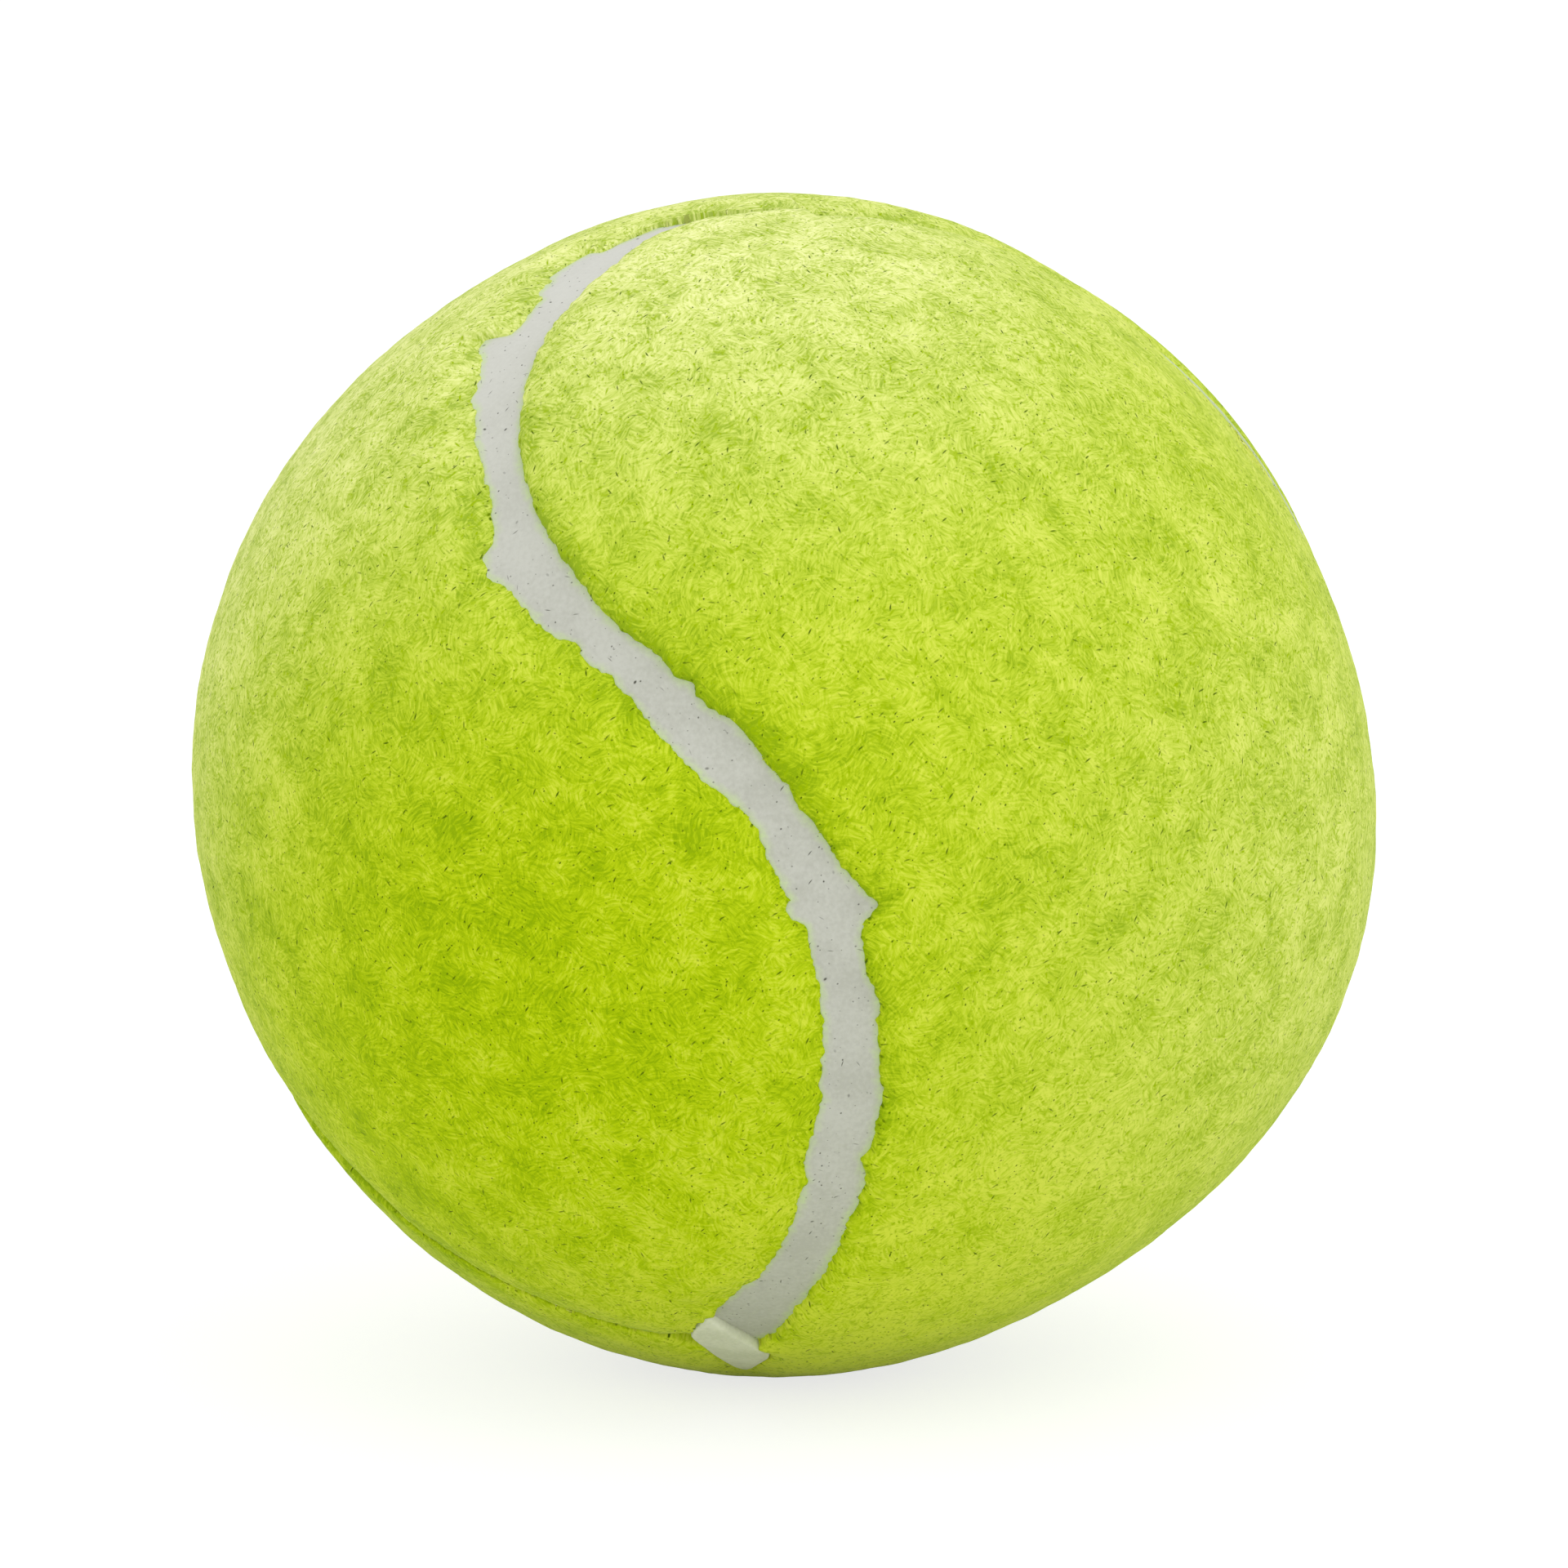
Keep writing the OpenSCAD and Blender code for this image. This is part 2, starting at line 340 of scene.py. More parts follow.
def needledFelt(name, look):
    # wool and nylon needled through a cloth: a matt mat of brushed fibres, uneven in depth of
    # colour, with short dark gaps of painted shade, painted shade deeper green at its cut edges, and a painted
    # highlight, paler where light falls from above
    material, tree = newMaterial(name)
    place = addNode(tree, "TexCoord").outputs["Object"]
    # the painted highlight, the painted shade at the cut edge, and the band of painted shadow right at it
    paintedPale, sunk, cut = (addNode(tree, "Attribute", attribute_name=mark).outputs["Fac"]
                       for mark in ("paleAndPaintedHighlight", "groove", "rim"))
    blotch, clump, clot = (
        addNode(tree, "TexNoise", {"Vector": place, "Scale": perMetre(size), "Detail": octaves["cloudy"],
                                   "Distortion": twist}).outputs["Fac"]
        for size, twist in (look["blotch"], look["clump"], look["clot"]))
    weigh = look["weigh"]
    parts = [(blotch, weigh["blotch"]), (clump, weigh["clump"]), (sunk, weigh["sunk"])]
    parts += [(strokesOf(tree, place, size, look), weigh["strokes"]) for size in look["tufts"]]
    depth = 0.0
    for part, weight in parts:
        depth = addNode(tree, "Math", {0: part, 1: weight, 2: depth}, operation="MULTIPLY_ADD").outputs[0]
    crest = addNode(tree, "MapRange", {"Value": depth, **look["crest"]}).outputs[0]
    # painted highlight, strongest on the mat's highest strokes
    highlightShare = addNode(tree, "Math", {0: paintedPale, 1: crest}, operation="MULTIPLY", use_clamp=True).outputs[0]
    matted = addNode(tree, "MapRange", {"Value": clot, **look["matted"]}).outputs[0]
    layers = [(highlightShare, "paleAndPaintedHighlight"), (matted, "moss")]
    height = depth
    # painted shade in the gaps between the tufts
    for tone, *gap in look["gaps"]:
        marks = marksOf(tree, place, *gap)
        layers.append((marks, tone))
        height = addNode(tree, "Math", {0: marks, 1: look["gapHeight"], 2: height},
                         operation="MULTIPLY_ADD").outputs[0]
    # painted shadow: dark gaps along the cut edge
    tone, *gap = look["rim"]
    marks = addNode(tree, "Math", {0: cut, 1: marksOf(tree, place, *gap)}, operation="MULTIPLY").outputs[0]
    layers.append((marks, tone))
    colour = addNode(tree, "ValToRGB", {"Fac": depth}, stops=stopsOf(look, "matRamp")).outputs["Color"]
    for share, tone in layers:
        colour = addNode(tree, "Mix", {0: share, 6: colour, 7: linearOf(look[tone])},
                         data_type="RGBA").outputs[2]
    bump = addNode(tree, "Bump", {"Height": height, **look["relief"]})
    shader = addNode(tree, "BsdfPrincipled", {
        "Base Color": colour, "Normal": bump.outputs["Normal"], **look["surface"]})
    addNode(tree, "OutputMaterial", {"Surface": shader.outputs[0]})
    return material


def curledFibre(name, look):
    # curled bundles of wool and nylon fibre: each its own shade, with the mat's painted highlight and
    # painted shade, and lit as softly as the mat, because light passes through them
    material, tree = newMaterial(name)
    place = addNode(tree, "TexCoord").outputs["Object"]
    paintedPale, sunk = (addNode(tree, "Attribute", attribute_name=mark).outputs["Fac"]
                  for mark in ("paleAndPaintedHighlight", "groove"))
    form = addNode(tree, "NewGeometry")
    island = form.outputs["Random Per Island"]
    shade = addNode(tree, "TexNoise", {
        "Vector": place, "Scale": perMetre(look["blotch"][0]), "Detail": octaves["cloudy"]}).outputs["Fac"]
    # painted shade at the cut edge darkens the fibres too
    for part, weight in ((island, look["island"]), (sunk, look["fibreShadeWeight"])):
        shade = addNode(tree, "Math", {0: part, 1: weight, 2: shade}, operation="MULTIPLY_ADD").outputs[0]
    colour = addNode(tree, "ValToRGB", {"Fac": shade}, stops=stopsOf(look, "fibreRamp")).outputs["Color"]
    faded = addNode(tree, "MapRange", {"Value": island, **look["faded"]}).outputs[0]
    # painted highlight, as on the mat
    share = addNode(tree, "Math", {0: paintedPale, 1: shade}, operation="MULTIPLY").outputs[0]
    share = addNode(tree, "Math", {0: share, 1: look["highlightGain"], 2: faded},
                    operation="MULTIPLY_ADD", use_clamp=True).outputs[0]
    colour = addNode(tree, "Mix", {0: share, 6: colour, 7: linearOf(look["paleAndPaintedHighlight"])},
                     data_type="RGBA").outputs[2]
    out = addNode(tree, "VectorTransform", {0: place},
                  vector_type="NORMAL", convert_from="OBJECT", convert_to="WORLD").outputs[0]
    out = addNode(tree, "VectorMath", {0: out}, operation="NORMALIZE").outputs[0]
    lean = addNode(tree, "VectorMath", {0: form.outputs["Normal"], 1: look["ownForm"], 2: out},
                   operation="MULTIPLY_ADD").outputs[0]
    lean = addNode(tree, "VectorMath", {0: lean}, operation="NORMALIZE").outputs[0]
    shader = addNode(tree, "BsdfPrincipled", {"Base Color": colour, "Normal": lean, **look["surface"]})
    addNode(tree, "OutputMaterial", {"Surface": shader.outputs[0]})
    return material


allRubber = {
    "grainShare": 0.45,  # of the tint, beside the clouds
    "tintRamp": [(0.4, "dark"), (0.6, "light")],
    "relief": {"Strength": 0.35, "Distance": 0.03 * mm},
    "roughSpan": 0.2,  # from the smoothest cloud to the roughest
    "shine": 0.2,
}
rubberLooks = {
    # cloud and grain in mm; a speck has its spacing, half length, half width and share
    # on the seam, a paler tone for the painted highlight and a green for the painted reflection of the felt
    "seam": {"light": "#C3C4BA", "dark": "#B7B8AD", "paintedPale": "#DADAD4", "dust": "#45453B", "feltReflection": "#C2DC8C",
             "cloud": 4.0, "grain": 0.25, "roughness": 0.7,
             "specks": [(1.1, 0.07, 0.055, 0.45), (1.7, 0.2, 0.035, 0.35),
                        (0.7, 0.045, 0.035, 0.3), (2.6, 0.13, 0.08, 0.5)]},
    "lap": {"light": "#E8EAD8", "dark": "#DCDFCA", "cloud": 2.0, "grain": 0.25, "roughness": 0.6},
    "core": {"light": "#55534F", "dark": "#3E3D3A", "cloud": 6.0, "grain": 0.4, "roughness": 0.7},
    "joint": {"light": "#34322F", "dark": "#262523", "cloud": 3.0, "grain": 0.3, "roughness": 0.6},
    "film": {"light": "#C2AF86", "dark": "#A5925F", "cloud": 5.0, "grain": 0.3, "roughness": 0.45},
    "backing": {"light": "#D6C69E", "dark": "#BBA87C", "cloud": 3.0, "grain": 0.3, "roughness": 0.55},
}


def curedRubber(name, look):
    # rubber cement cured in the mould: smooth and dull, with cloudy patches, and on the outside
    # dark dust specks, a paler painted highlight where light falls from above and a painted reflection of the
    # green felt beside it
    look = {**allRubber, **look}
    material, tree = newMaterial(name)
    place = addNode(tree, "TexCoord").outputs["Object"]
    cloud, grain = (
        addNode(tree, "TexNoise", {"Vector": place, "Scale": perMetre(look[part]),
                                   "Detail": octaves[kind]}).outputs["Fac"]
        for part, kind in (("cloud", "cloudy"), ("grain", "fine")))
    both = addNode(tree, "Mix", {0: look["grainShare"], 2: cloud, 3: grain}).outputs[0]
    colour = addNode(tree, "ValToRGB", {"Fac": both}, stops=stopsOf(look, "tintRamp")).outputs["Color"]
    layers = []
    # painted highlight, and painted reflection of the felt's green broken up by the grain
    if "paintedPale" in look:
        paintedPale, feltReflection = (addNode(tree, "Attribute", attribute_name=mark).outputs["Fac"]
                       for mark in ("paleAndPaintedHighlight", "feltReflection"))
        speckledReflection = addNode(tree, "Math", {0: feltReflection, 1: grain}, operation="MULTIPLY").outputs[0]
        layers = [(paintedPale, "paintedPale"), (speckledReflection, "feltReflection")]
    layers += [(marksOf(tree, place, *speck), "dust") for speck in look.get("specks", [])]
    for share, tone in layers:
        colour = addNode(tree, "Mix", {0: share, 6: colour, 7: linearOf(look[tone])},
                         data_type="RGBA").outputs[2]
    bump = addNode(tree, "Bump", {"Height": grain, **look["relief"]})
    span = look["roughSpan"]
    rough = addNode(tree, "Math", {0: cloud, 1: span, 2: look["roughness"] - span / 2},
                    operation="MULTIPLY_ADD").outputs[0]
    shader = addNode(tree, "BsdfPrincipled", {
        "Base Color": colour, "Roughness": rough, "Specular IOR Level": look["shine"],
        "Normal": bump.outputs["Normal"]})
    addNode(tree, "OutputMaterial", {"Surface": shader.outputs[0]})
    return material


cottonLook = {
    "light": "#EFE9D6", "dark": "#C9BF9F",
    "tintRamp": [(0.2, "dark"), (0.9, "light")],
    "thread": 0.5,  # mm; the bands come every 2 pi of these, which is coarser than a real weave
    "waveTurn": 20,  # the wave texture multiplies its places by this
    "slack": 1.0,  # how far the threads wander
    "relief": {"Strength": 0.8, "Distance": 0.15 * mm},
    "roughness": 0.9,
}


def wovenCotton(name, look):
    # plain-weave cotton under the nap: cream threads crossing at a regular spacing
    material, tree = newMaterial(name)
    place = addNode(tree, "TexCoord").outputs["Object"]
    warp, weft = (
        addNode(tree, "TexWave", {"Vector": place, "Scale": perMetre(look["thread"]) / look["waveTurn"],
                                  "Distortion": look["slack"]}, bands_direction=way).outputs["Fac"]
        for way in ("Z", "X"))
    weave = addNode(tree, "Math", {0: warp, 1: weft}, operation="MAXIMUM").outputs[0]
    tint = addNode(tree, "ValToRGB", {"Fac": weave}, stops=stopsOf(look, "tintRamp"))
    bump = addNode(tree, "Bump", {"Height": weave, **look["relief"]})
    shader = addNode(tree, "BsdfPrincipled", {
        "Base Color": tint.outputs["Color"], "Roughness": look["roughness"],
        "Normal": bump.outputs["Normal"]})
    addNode(tree, "OutputMaterial", {"Surface": shader.outputs[0]})
    return material


feltMat = needledFelt("needled_felt", feltLook)
fibreMat = curledFibre("wool_nylon_fibre", feltLook)
seamMat = curedRubber("seam_rubber_cured", rubberLooks["seam"])
lapMat = curedRubber("lap_rubber_cured", rubberLooks["lap"])
hiddenFinishes = [
    (curedRubber("moulded_core_rubber", rubberLooks["core"]), ("core_lower_half", "core_upper_half")),
    (curedRubber("joint_cement_cured", rubberLooks["joint"]), ("core_joint_cement",)),
    (curedRubber("cement_film_dried", rubberLooks["film"]), ("core_cement_film",)),
    (curedRubber("backing_cement_dried", rubberLooks["backing"]),
     ("right_panel_backing", "left_panel_backing")),
    (wovenCotton("base_cloth_cotton", cottonLook), ("right_panel_cloth", "left_panel_cloth")),
]
for material, nodes in hiddenFinishes:
    for node in nodes:
        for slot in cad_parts[node].material_slots:
            slot.material = material
print("materials made")


# Felt panels

napShape = {
    "halfGap": 1.5 * mm,  # from the seam's middle line to the nap's underside
    "edges": {
        # millimetres along the seam, and millimetres from its middle line to the cut edge of the
        # right panel (1) and the left one (-1), where the die left steps and nicks at the front
        1: [(0, 0.3), (4, 0.1), (6, -0.5), (8, -0.75), (10, -0.45), (12.2, 0.3), (14, 0.5), (17.5, 0.75),
            (20, 0.7), (22, 0.85), (26, 0.9), (31, 0.95), (33.5, 1.2), (35, 1.1), (36.7, 1.25), (38, 1.35),
            (42, 1.25), (44, 1.1), (46.5, 1.45), (48.5, 1.25), (49.5, 1.5), (51, 1.3), (53, 1.6), (56, 1.35),
            (57, 1.6), (58.3, 1.25), (60, 1.5), (62.3, 1.7), (63.9, 2.3), (64.8, 2.8), (65.2, 2.0),
            (65.8, 1.5), (66.7, 1.2), (68.3, 1.15), (69.6, 1.5), (73, 1.4), (75.5, 1.75), (77.5, 1.75),
            (78.5, 1.9), (79.7, 1.6), (81.3, 2.2), (83, 2.3), (84.5, 2.1), (87, 2.2), (90, 2.1), (93.5, 1.8),
            (96, 1.7), (98.3, 2.2), (99.5, 2.4), (101, 1.4), (102.5, 0.1), (118, 0.1), (126, 0.5),
            (136, 1.2), (145, 1.5)],
        -1: [(0, 0.3), (3, 1.5), (5, 2.8), (7, 3.7), (9.2, 3.45), (10.8, 3.3), (11.2, 4.1), (13.4, 4.1),
             (14.2, 3.4), (15.5, 3.2), (16.1, 2.4), (18.6, 2.2), (19.3, 2.4), (19.5, 3.9), (20.1, 3.95),
             (21.2, 3.3), (22.7, 2.75), (24.3, 2.95), (25.1, 2.4), (27.4, 2.0), (29.3, 1.5), (31, 1.35),
             (32.3, 1.2), (33.6, 1.5), (34.8, 1.9), (35.3, 2.7), (36.4, 3.0), (37.2, 2.4), (39.5, 2.05),
             (41.5, 1.85), (43, 1.2), (43.7, 1.4), (44.6, 1.5), (46, 1.1), (47, 1.4), (48, 1.4), (49, 1.65),
             (53, 1.9), (54.3, 1.9), (55.3, 1.6), (56.5, 1.35), (58.3, 1.2), (59.5, 1.6), (61, 1.8),
             (62.7, 1.55), (63.1, 2.1), (63.8, 2.1), (64.5, 1.4), (65.5, 1.5), (67, 1.75), (68.3, 1.55),
             (69.5, 1.8), (70.5, 1.55), (72, 1.8), (75, 1.9), (76, 1.6), (78, 1.75), (80.2, 1.65), (82, 1.1),
             (86, 0.9), (88.5, 1.0), (91, 1.35), (92.8, 1.9), (94.5, 2.4), (97.5, 2.7), (100.5, 1.1),
             (103, 0.1), (118, 0.1), (126, 0.5), (136, 1.2), (145, 1.5)],
    },
    "rags": {  # raggedness of the edge: height, size
        1: [(0.12 * mm, 1.2 * mm), (0.18 * mm, 0.55 * mm), (0.11 * mm, 0.3 * mm)],
        -1: [(0.14 * mm, 1.2 * mm), (0.20 * mm, 0.55 * mm), (0.12 * mm, 0.3 * mm)]},
    "ragSeeds": (11.3, 3),  # for each layer, and for each side
    "ragZone": 3 * mm,  # band along the edge in which the raggedness is worked out
    "lapGap": 0.05 * mm,  # the felt is cut this close round the lap
    # millimetres along the seam, and the share of its full fall that the felt makes there
    "dip": [(0, 0.4), (6, 0.4), (11, 1.0), (97, 1.0), (103, 0.3), (118, 0.3), (126, 1.0)],
    "lapDip": (0.3, 3 * mm),  # the share beside the lap, and the distance over which it grows by one
    "swells": [  # the nap stands higher or lower here: longitude, latitude, height, half width
        (90, 37, -0.85 * mm, 20), (90, -20, 0.65 * mm, 16), (0, 90, 0.22 * mm, 18), (-90, 15, 0.25 * mm, 20),
        (-90, -30, -0.45 * mm, 16), (-90, -82, 0.20 * mm, 16), (90, -60, -0.30 * mm, 12),
        (-90, 58, -0.22 * mm, 10)],
    "paleAndPaintedHighlight": [  # painted highlight, paler where light falls from above and at the rims: longitude, latitude, share, half width
        (-8, 66, 0.62, 24), (-78, 35, 0.45, 20), (-85, 0, 0.2, 16), (72, -8, 0.28, 28), (160, 20, 0.3, 35),
        (-140, -25, 0.2, 30)],
    # painted light at the bottom, where the floor shades the ball, and darker at the lower left: longitude,
    # latitude, share, half width
    "paintedLightAndShade": [(12, -62, 0.6, 26), (-10, -82, 0.9, 14), (-33, -22, -0.4, 20)],
    "groove": {  # painted shade where the felt rolls down to the seam: millimetres along the seam, share
        1: [(0, 0.5), (14, 0.1), (26, 0.3), (38, 1.0), (60, 0.9), (68, 0.5), (110, 0.5)],
        -1: [(0, 0.5), (14, 0.2), (110, 0.3)]},
    "lumps": [(0.06 * mm, 4.0 * mm), (0.04 * mm, 1.6 * mm), (0.03 * mm, 0.8 * mm)],  # height, size
    "lumpSeed": 5.7,
    "shoulder": {1: 1.9 * mm, -1: 2.8 * mm},  # how far in the felt starts to fall to its edge
    "slope": 1.5,  # power of the left panel's fall
    "fineZone": 1.0 * mm,  # band along the edge with a finer mesh
    "rim": 0.3 * mm,  # band at the very edge that has painted shadow gaps of its own
    "rimStart": 1.3,  # the band's strength at the edge, where it is held to one
    "lip": 0.13 * mm,  # the edge ends this far above the seam rubber's face
    "outerCuts": 8, "innerCuts": 5,  # subdivisions of the spheres that the panel is cut from
}


def profileAt(pairs, along):
    places, values = zip(*pairs)
    return np.interp(along, np.array(places) * mm, values)


def insideCut(points, side):  # metres inside the panel's edge as the die cut it
    across, along = seamPlace(points)
    return side * across - profileAt(napShape["edges"][side], along) * mm


def edgeField(points, side):  # metres inside the panel's ragged edge, negative outside
    inside = np.minimum(insideCut(points, side), lapField(points) - napShape["lapGap"])
    near = np.abs(inside) < napShape["ragZone"]
    layerSeed, sideSeed = napShape["ragSeeds"]
    for k, (height, size) in enumerate(napShape["rags"][side]):
        inside[near] += height * noiseOver(points[near], size, layerSeed * k + sideSeed * side)
    return inside


def markTone(mesh, side):  # writes the painted highlight, and the painted shade at the cut edge with the spots' painted light and shade, for the materials to read
    points = coordsOf(mesh.vertices)
    fall = np.clip(1 - insideCut(points, side) / napShape["shoulder"][1], 0, 1)
    # painted shade, deepest where the felt falls to its edge
    groove = fall * profileAt(napShape["groove"][side], seamPlace(points)[1])
    writeMark(mesh, "paleAndPaintedHighlight", sumOf(napShape["paleAndPaintedHighlight"], points))
    # the spots' painted light lifts the bottom out of the floor's shade, and one spot darkens the lower left
    writeMark(mesh, "groove", groove - sumOf(napShape["paintedLightAndShade"], points))


def trimAt(bm, field):  # cuts the mesh along field's zero line, corners slid onto it
    points = coordsOf(bm.verts)
    inside = field(points)
    bm.verts.index_update()
    slid = {}
    for edge in bm.edges:
        a, b = edge.verts[0].index, edge.verts[1].index
        if inside[a] * inside[b] >= 0:
            continue
        share = inside[a] / (inside[a] - inside[b])
        vert, share = (a, share) if share < 0.5 else (b, 1 - share)
        if vert not in slid or share < slid[vert][0]:
            slid[vert] = (share, b if vert == a else a)
    bm.verts.ensure_lookup_table()
    for vert, (share, other) in slid.items():
        bm.verts[vert].co = Vector(points[vert] * (1 - share) + points[other] * share)
        inside[vert] = 0
    outside = [f for f in bm.faces if min(inside[v.index] for v in f.verts) < 0]
    bmesh.ops.delete(bm, geom=outside, context="FACES")


def rimOf(bm):
    return [e for e in bm.edges if e.is_boundary]


def triangulated(bm):
    bmesh.ops.triangulate(bm, faces=[f for f in bm.faces if len(f.verts) > 3])


def drawnTo(bm, radius, verts):
    for v in verts:
        v.co = v.co.normalized() * radius


def setHeights(bm, radii):
    for v, r in zip(bm.verts, radii):
        v.co = v.co * (r / v.co.length)
        v.co.z = max(v.co.z, -ballR)  # pressed flat where it stands


def fallDepth(points):  # metres that the nap's face falls at its edge, less beside the lap
    least, growth = napShape["lapDip"]
    byLap = least + np.maximum(lapField(points), 0) / growth
    dip = np.minimum(profileAt(napShape["dip"], seamPlace(points)[1]), byLap)
    return (ballR - seamR - napShape["lip"]) * dip


def napRadius(points, side, rim):  # from the ball's centre to the nap's face, which ends at its rim
    inside = np.maximum(edgeField(points, side), 0)
    inside[rim] = 0
    roll = np.clip(1 - inside / napShape["shoulder"][side], 0, 1)
    # a round lip on the right panel, a gentle slope on the left one
    fall = 1 - np.sqrt(1 - roll ** 2) if side > 0 else roll ** napShape["slope"]
    lump = noiseLayers(points, napShape["lumps"], napShape["lumpSeed"])
    return ballR - fallDepth(points) * fall + (sumOf(napShape["swells"], points) + lump) * (1 - roll)


def napPanel(name, side, sphere):
    bm = sphere.copy()
    across = side * seamPlace(coordsOf(bm.verts))[0]
    bmesh.ops.delete(bm, geom=[v for v, d in zip(bm.verts, across) if d < 0], context="VERTS")
    inside = edgeField(coordsOf(bm.verts), side)
    bm.verts.index_update()
    close = [e for e in bm.edges if max(abs(inside[v.index]) for v in e.verts) < napShape["fineZone"]]
    bmesh.ops.subdivide_edges(bm, edges=close, cuts=1, use_grid_fill=True)
    triangulated(bm)
    drawnTo(bm, ballR, bm.verts)
    trimAt(bm, lambda points: edgeField(points, side))
    bmesh.ops.delete(bm, geom=[v for v in bm.verts if not v.link_faces], context="VERTS")
    setHeights(bm, napRadius(coordsOf(bm.verts), side, [v.is_boundary for v in bm.verts]))

    wall = bmesh.ops.extrude_edge_only(bm, edges=rimOf(bm))["geom"]
    drawnTo(bm, clothR, [g for g in wall if isinstance(g, bmesh.types.BMVert)])
    outerRim = rimOf(bm)
    bmesh.ops.recalc_face_normals(bm, faces=bm.faces)

    inner = bmesh.new()  # the nap's underside, on the base cloth
    bmesh.ops.create_icosphere(inner, subdivisions=napShape["innerCuts"], radius=clothR)
    trimAt(inner, lambda points: side * seamPlace(points)[0] - napShape["halfGap"])
    bmesh.ops.reverse_faces(inner, faces=inner.faces)
    underside = bpy.data.meshes.new("underside")
    inner.to_mesh(underside)
    inner.free()
    bm.from_mesh(underside)
    bpy.data.meshes.remove(underside)
    innerRim = [e for e in rimOf(bm) if e not in set(outerRim)]
    bmesh.ops.bridge_loops(bm, edges=outerRim + innerRim)
    triangulated(bm)

    print(name, len(bm.faces), "faces,", len(rimOf(bm)), "open edges")
    away = np.abs(edgeField(coordsOf(bm.verts), side))
    piece = meshPiece(name + "_felt", bm, feltMat, [name])
    markTone(piece.data, side)
    # band of painted shadow along the cut edge
    writeMark(piece.data, "rim", np.clip(napShape["rimStart"] - away / napShape["rim"], 0, 1))


sphere = bmesh.new()
bmesh.ops.create_icosphere(sphere, subdivisions=napShape["outerCuts"], radius=ballR)
for name, side in (("right_panel_nap", 1), ("left_panel_nap", -1)):
    napPanel(name, side, sphere)
sphere.free()


# Seam rubber

seamShape = {
    "rootHalf": 1.5 * mm,  # half width between the base cloths
    "topHalf": 4.2 * mm,  # half width under the felt's ragged edges
    "flare": 0.2 * mm,  # it is wide from this far above the base cloths
    "bevel": 0.1 * mm,  # drop of its face at the sides
    "crown": 0.02 * mm,
    "step": 0.35 * mm,  # spacing of the rings along the seam
    "topCuts": 41,  # strips across its face
    "merge": 0.02 * mm,  # corners closer than this become one
    "ripples": [(0.03 * mm, 6.0 * mm), (0.02 * mm, 1.2 * mm)],  # height, size
    "rippleSeed": 2.1,
    "feltReflection": 0.45 * mm,  # width of the band beside the felt's edge that carries the painted reflection of its green
}


def seamBand():
    bm = bmesh.new()
    root, top, bevel = seamShape["rootHalf"], seamShape["topHalf"], seamShape["bevel"]
    cuts = seamShape["topCuts"]
    outline = [(-root, filmR), (-root, clothR), (-top, clothR + seamShape["flare"]), (-top, seamR - bevel)]
    outline += [(top * (2 * k / cuts - 1), seamR) for k in range(1, cuts)]
    outline += [(-x, r) for x, r in reversed(outline[:4])]
    first = legs[0]
    start = math.cos(first["size"]) * first["axis"] + math.sin(first["size"]) * first["u"]
    sideways = squareTo(first["side"] * first["axis"], start)  # towards the right panel
    ring = [bm.verts.new(start * r + sideways * x) for x, r in outline]
    geom = ring + [bm.edges.new((a, b)) for a, b in zip(ring, ring[1:] + ring[:1])]
    for leg in legs:
        steps = max(1, round(leg["turn"] * math.sin(leg["size"]) * ballR / seamShape["step"]))
        spun = bmesh.ops.spin(bm, geom=geom, cent=(0, 0, 0), axis=leg["side"] * leg["axis"],
                              angle=leg["turn"], steps=steps, use_merge=False)
        geom = spun["geom_last"]
    bmesh.ops.remove_doubles(bm, verts=bm.verts, dist=seamShape["merge"])
    bmesh.ops.recalc_face_normals(bm, faces=bm.faces)
    points = coordsOf(bm.verts)
    across = seamPlace(points)[0]
    ripple = noiseLayers(points, seamShape["ripples"], seamShape["rippleSeed"])
    crown = seamShape["crown"] * (1 - (across / top) ** 2)
    for v, r, x in zip(bm.verts, ripple + crown, across):
        if v.co.length > seamR - seamShape["merge"] and abs(x) < top - bevel:
            v.co *= 1 + r / v.co.length
    print("seam", len(bm.faces), "faces,", len(rimOf(bm)), "open edges")
    piece = meshPiece("seam_rubber_band", bm, seamMat, ["seam_rubber"])
    # paler where light falls from above: painted highlight, as on the felt
    markTone(piece.data, 1)
    covered = np.maximum(edgeField(points, 1), edgeField(points, -1))  # metres under the nearer felt
    # painted reflection of the green felt, full under its edge and fading away from it
    writeMark(piece.data, "feltReflection", np.clip(1 + covered / seamShape["feltReflection"], 0, 1))


seamBand()


# Seam lap

